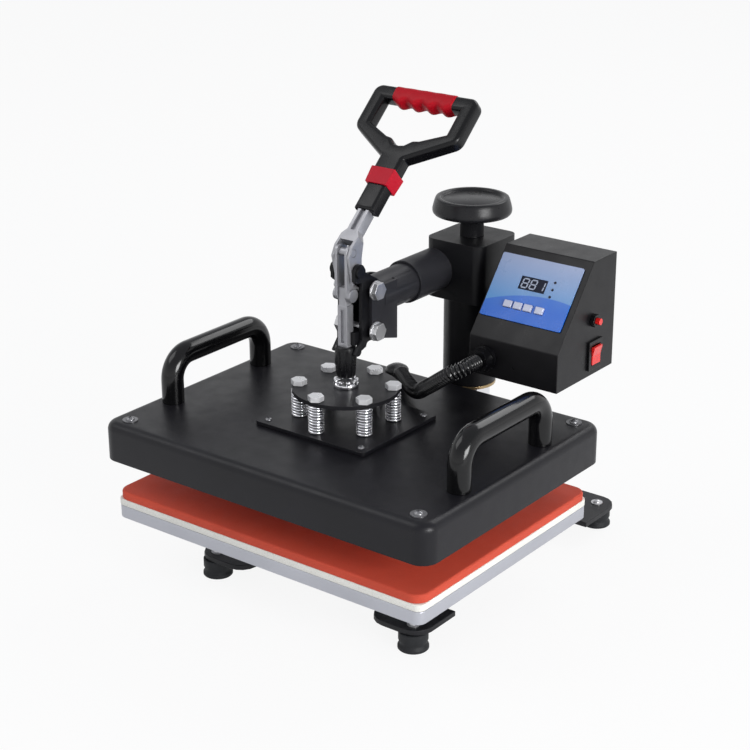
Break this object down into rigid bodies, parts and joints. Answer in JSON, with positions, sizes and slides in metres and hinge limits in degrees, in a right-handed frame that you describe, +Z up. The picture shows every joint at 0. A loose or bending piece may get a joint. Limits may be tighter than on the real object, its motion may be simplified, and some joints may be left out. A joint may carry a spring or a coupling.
{
  "type": "swing-away heat press",
  "caption": "Swing-away heat press with a toggle lever, a spring-mounted heat platen, a padded lower plate on a footed frame and a sloped control box.",
  "frame": {"origin": "centre of the bounding box at the plane of the feet's undersides", "axes": "+Z up, +X to the operator's right across the platens, +Y from the operator towards the column"},
  "size_m": [0.402, 0.4136, 0.4746],
  "materials": {
    "black_paint": "fine satin powder coat",
    "foot_rubber": "matt",
    "chrome": "polished",
    "zinc_steel": "bright zinc",
    "plate_alloy": "satin",
    "board_white": "matt board",
    "silicone_red": "matt silicone",
    "bush_bronze": "turned",
    "platen_aluminium": "machined",
    "panel_blue": "printed film",
    "black_plastic": "semi-gloss",
    "board_green": "resin board",
    "grip_red": "smooth moulded",
    "key_white": "smooth",
    "switch_red": "gloss"
  },
  "bodies": {
    "base": {"base_frame": "black_paint", "foot_front_left": "foot_rubber", "foot_front_right": "foot_rubber", "foot_rear_left": "foot_rubber", "foot_rear_right": "foot_rubber", "riser_left": "black_paint", "riser_right": "black_paint", "column_post": "chrome", "lower_plate": "plate_alloy", "insulation_board": "board_white", "silicone_pad": "silicone_red"},
    "lift": {"sleeve_bush": "bush_bronze"},
    "head": {"column_head": "black_paint", "arm": "black_paint", "bracket_left": "black_paint", "bracket_right": "black_paint", "rod_guide": "black_paint", "bracket_bolt_lower": "zinc_steel", "bracket_bolt_upper": "zinc_steel", "box_bracket": "black_paint", "box_shell": "black_paint", "box_back": "black_paint", "display_panel": "panel_blue", "rocker_bezel": "black_plastic", "reset_housing": "black_plastic", "box_connector": "black_plastic", "mains_inlet": "black_plastic", "controller_board": "board_green"},
    "knob": {"pressure_knob": "black_plastic", "pressure_screw": "zinc_steel"},
    "lever": {"lever_channel": "zinc_steel", "handle_frame": "black_plastic", "red_collar": "grip_red", "red_grip": "grip_red", "crank_pin": "zinc_steel"},
    "links": {"link_left": "zinc_steel", "link_right": "zinc_steel"},
    "rod": {"push_rod": "zinc_steel", "rod_socket": "black_paint", "centre_nut": "chrome", "spring_plate": "black_paint", "heater_hose": "black_plastic"},
    "platen": {"platen_cover": "black_paint", "heat_platen": "platen_aluminium", "mount_plate": "black_paint", "carry_handle_left": "black_plastic", "carry_handle_right": "black_plastic", "cable_gland": "black_plastic", "spring_1": "chrome", "spring_2": "chrome", "spring_3": "chrome", "spring_4": "chrome", "spring_5": "chrome", "spring_6": "chrome"},
    "key_1": {"panel_key_1": "key_white"},
    "key_2": {"panel_key_2": "key_white"},
    "key_3": {"panel_key_3": "key_white"},
    "key_4": {"panel_key_4": "key_white"},
    "rocker": {"rocker": "switch_red"},
    "reset": {"reset_button": "switch_red"}
  },
  "joints": [
    {"name": "head_height", "type": "slide", "parent": "base", "child": "lift", "axis": [0, 0, 1], "range_m": [-0.004, 0.006]},
    {"name": "head_swing", "type": "hinge", "parent": "lift", "child": "head", "pos_m": [0.018, 0.12275, 0.2565], "axis": [0, 0, 1], "range_deg": [-180, 180]},
    {"name": "knob_turn", "type": "hinge", "parent": "head", "child": "knob", "pos_m": [0.018, 0.12275, 0.342], "axis": [0, 0, 1], "range_deg": [-360, 540]},
    {"name": "lever_pull", "type": "hinge", "parent": "head", "child": "lever", "pos_m": [-0.004, -0.05625, 0.323], "axis": [1, 0, 0], "range_deg": [0, 110]},
    {"name": "link_turn", "type": "hinge", "parent": "lever", "child": "links", "pos_m": [-0.004, -0.06025, 0.3425], "axis": [1, 0, 0], "range_deg": [-92.6, 0]},
    {"name": "rod_press", "type": "slide", "parent": "head", "child": "rod", "axis": [0, 0, -1], "range_m": [0, 0.0279], "deforming": ["heater_hose"]},
    {"name": "platen_float", "type": "slide", "parent": "rod", "child": "platen", "axis": [0, 0, 1], "range_m": [0, 0.004], "stiffness_N_per_m": 15000, "springref_m": -0.006, "deforming": ["spring_1", "spring_2", "spring_3", "spring_4", "spring_5", "spring_6"]},
    {"name": "key_1_press", "type": "slide", "parent": "head", "child": "key_1", "axis": [0, 0.7844, -0.6203], "range_m": [0, 0.001], "stiffness_N_per_m": 600, "springref_m": -0.0006},
    {"name": "key_2_press", "type": "slide", "parent": "head", "child": "key_2", "axis": [0, 0.7844, -0.6203], "range_m": [0, 0.001], "stiffness_N_per_m": 600, "springref_m": -0.0006},
    {"name": "key_3_press", "type": "slide", "parent": "head", "child": "key_3", "axis": [0, 0.7844, -0.6203], "range_m": [0, 0.001], "stiffness_N_per_m": 600, "springref_m": -0.0006},
    {"name": "key_4_press", "type": "slide", "parent": "head", "child": "key_4", "axis": [0, 0.7844, -0.6203], "range_m": [0, 0.001], "stiffness_N_per_m": 600, "springref_m": -0.0006},
    {"name": "mains_rocker", "type": "hinge", "parent": "head", "child": "rocker", "pos_m": [0.1824, 0.10075, 0.2315], "axis": [0, 1, 0], "range_deg": [-14, 0]},
    {"name": "reset_press", "type": "slide", "parent": "head", "child": "reset", "axis": [-1, 0, 0], "range_m": [0, 0.0015], "stiffness_N_per_m": 600, "springref_m": -0.0006}
  ],
  "couplings": [
    {"joint": "knob_turn", "follows": "head_height", "rad_per_m": 1570.8},
    {"joint": "link_turn", "follows": "lever_pull", "ratio": -0.8413},
    {"joint": "rod_press", "follows": "lever_pull", "m_per_rad": 0.014532}
  ]
}
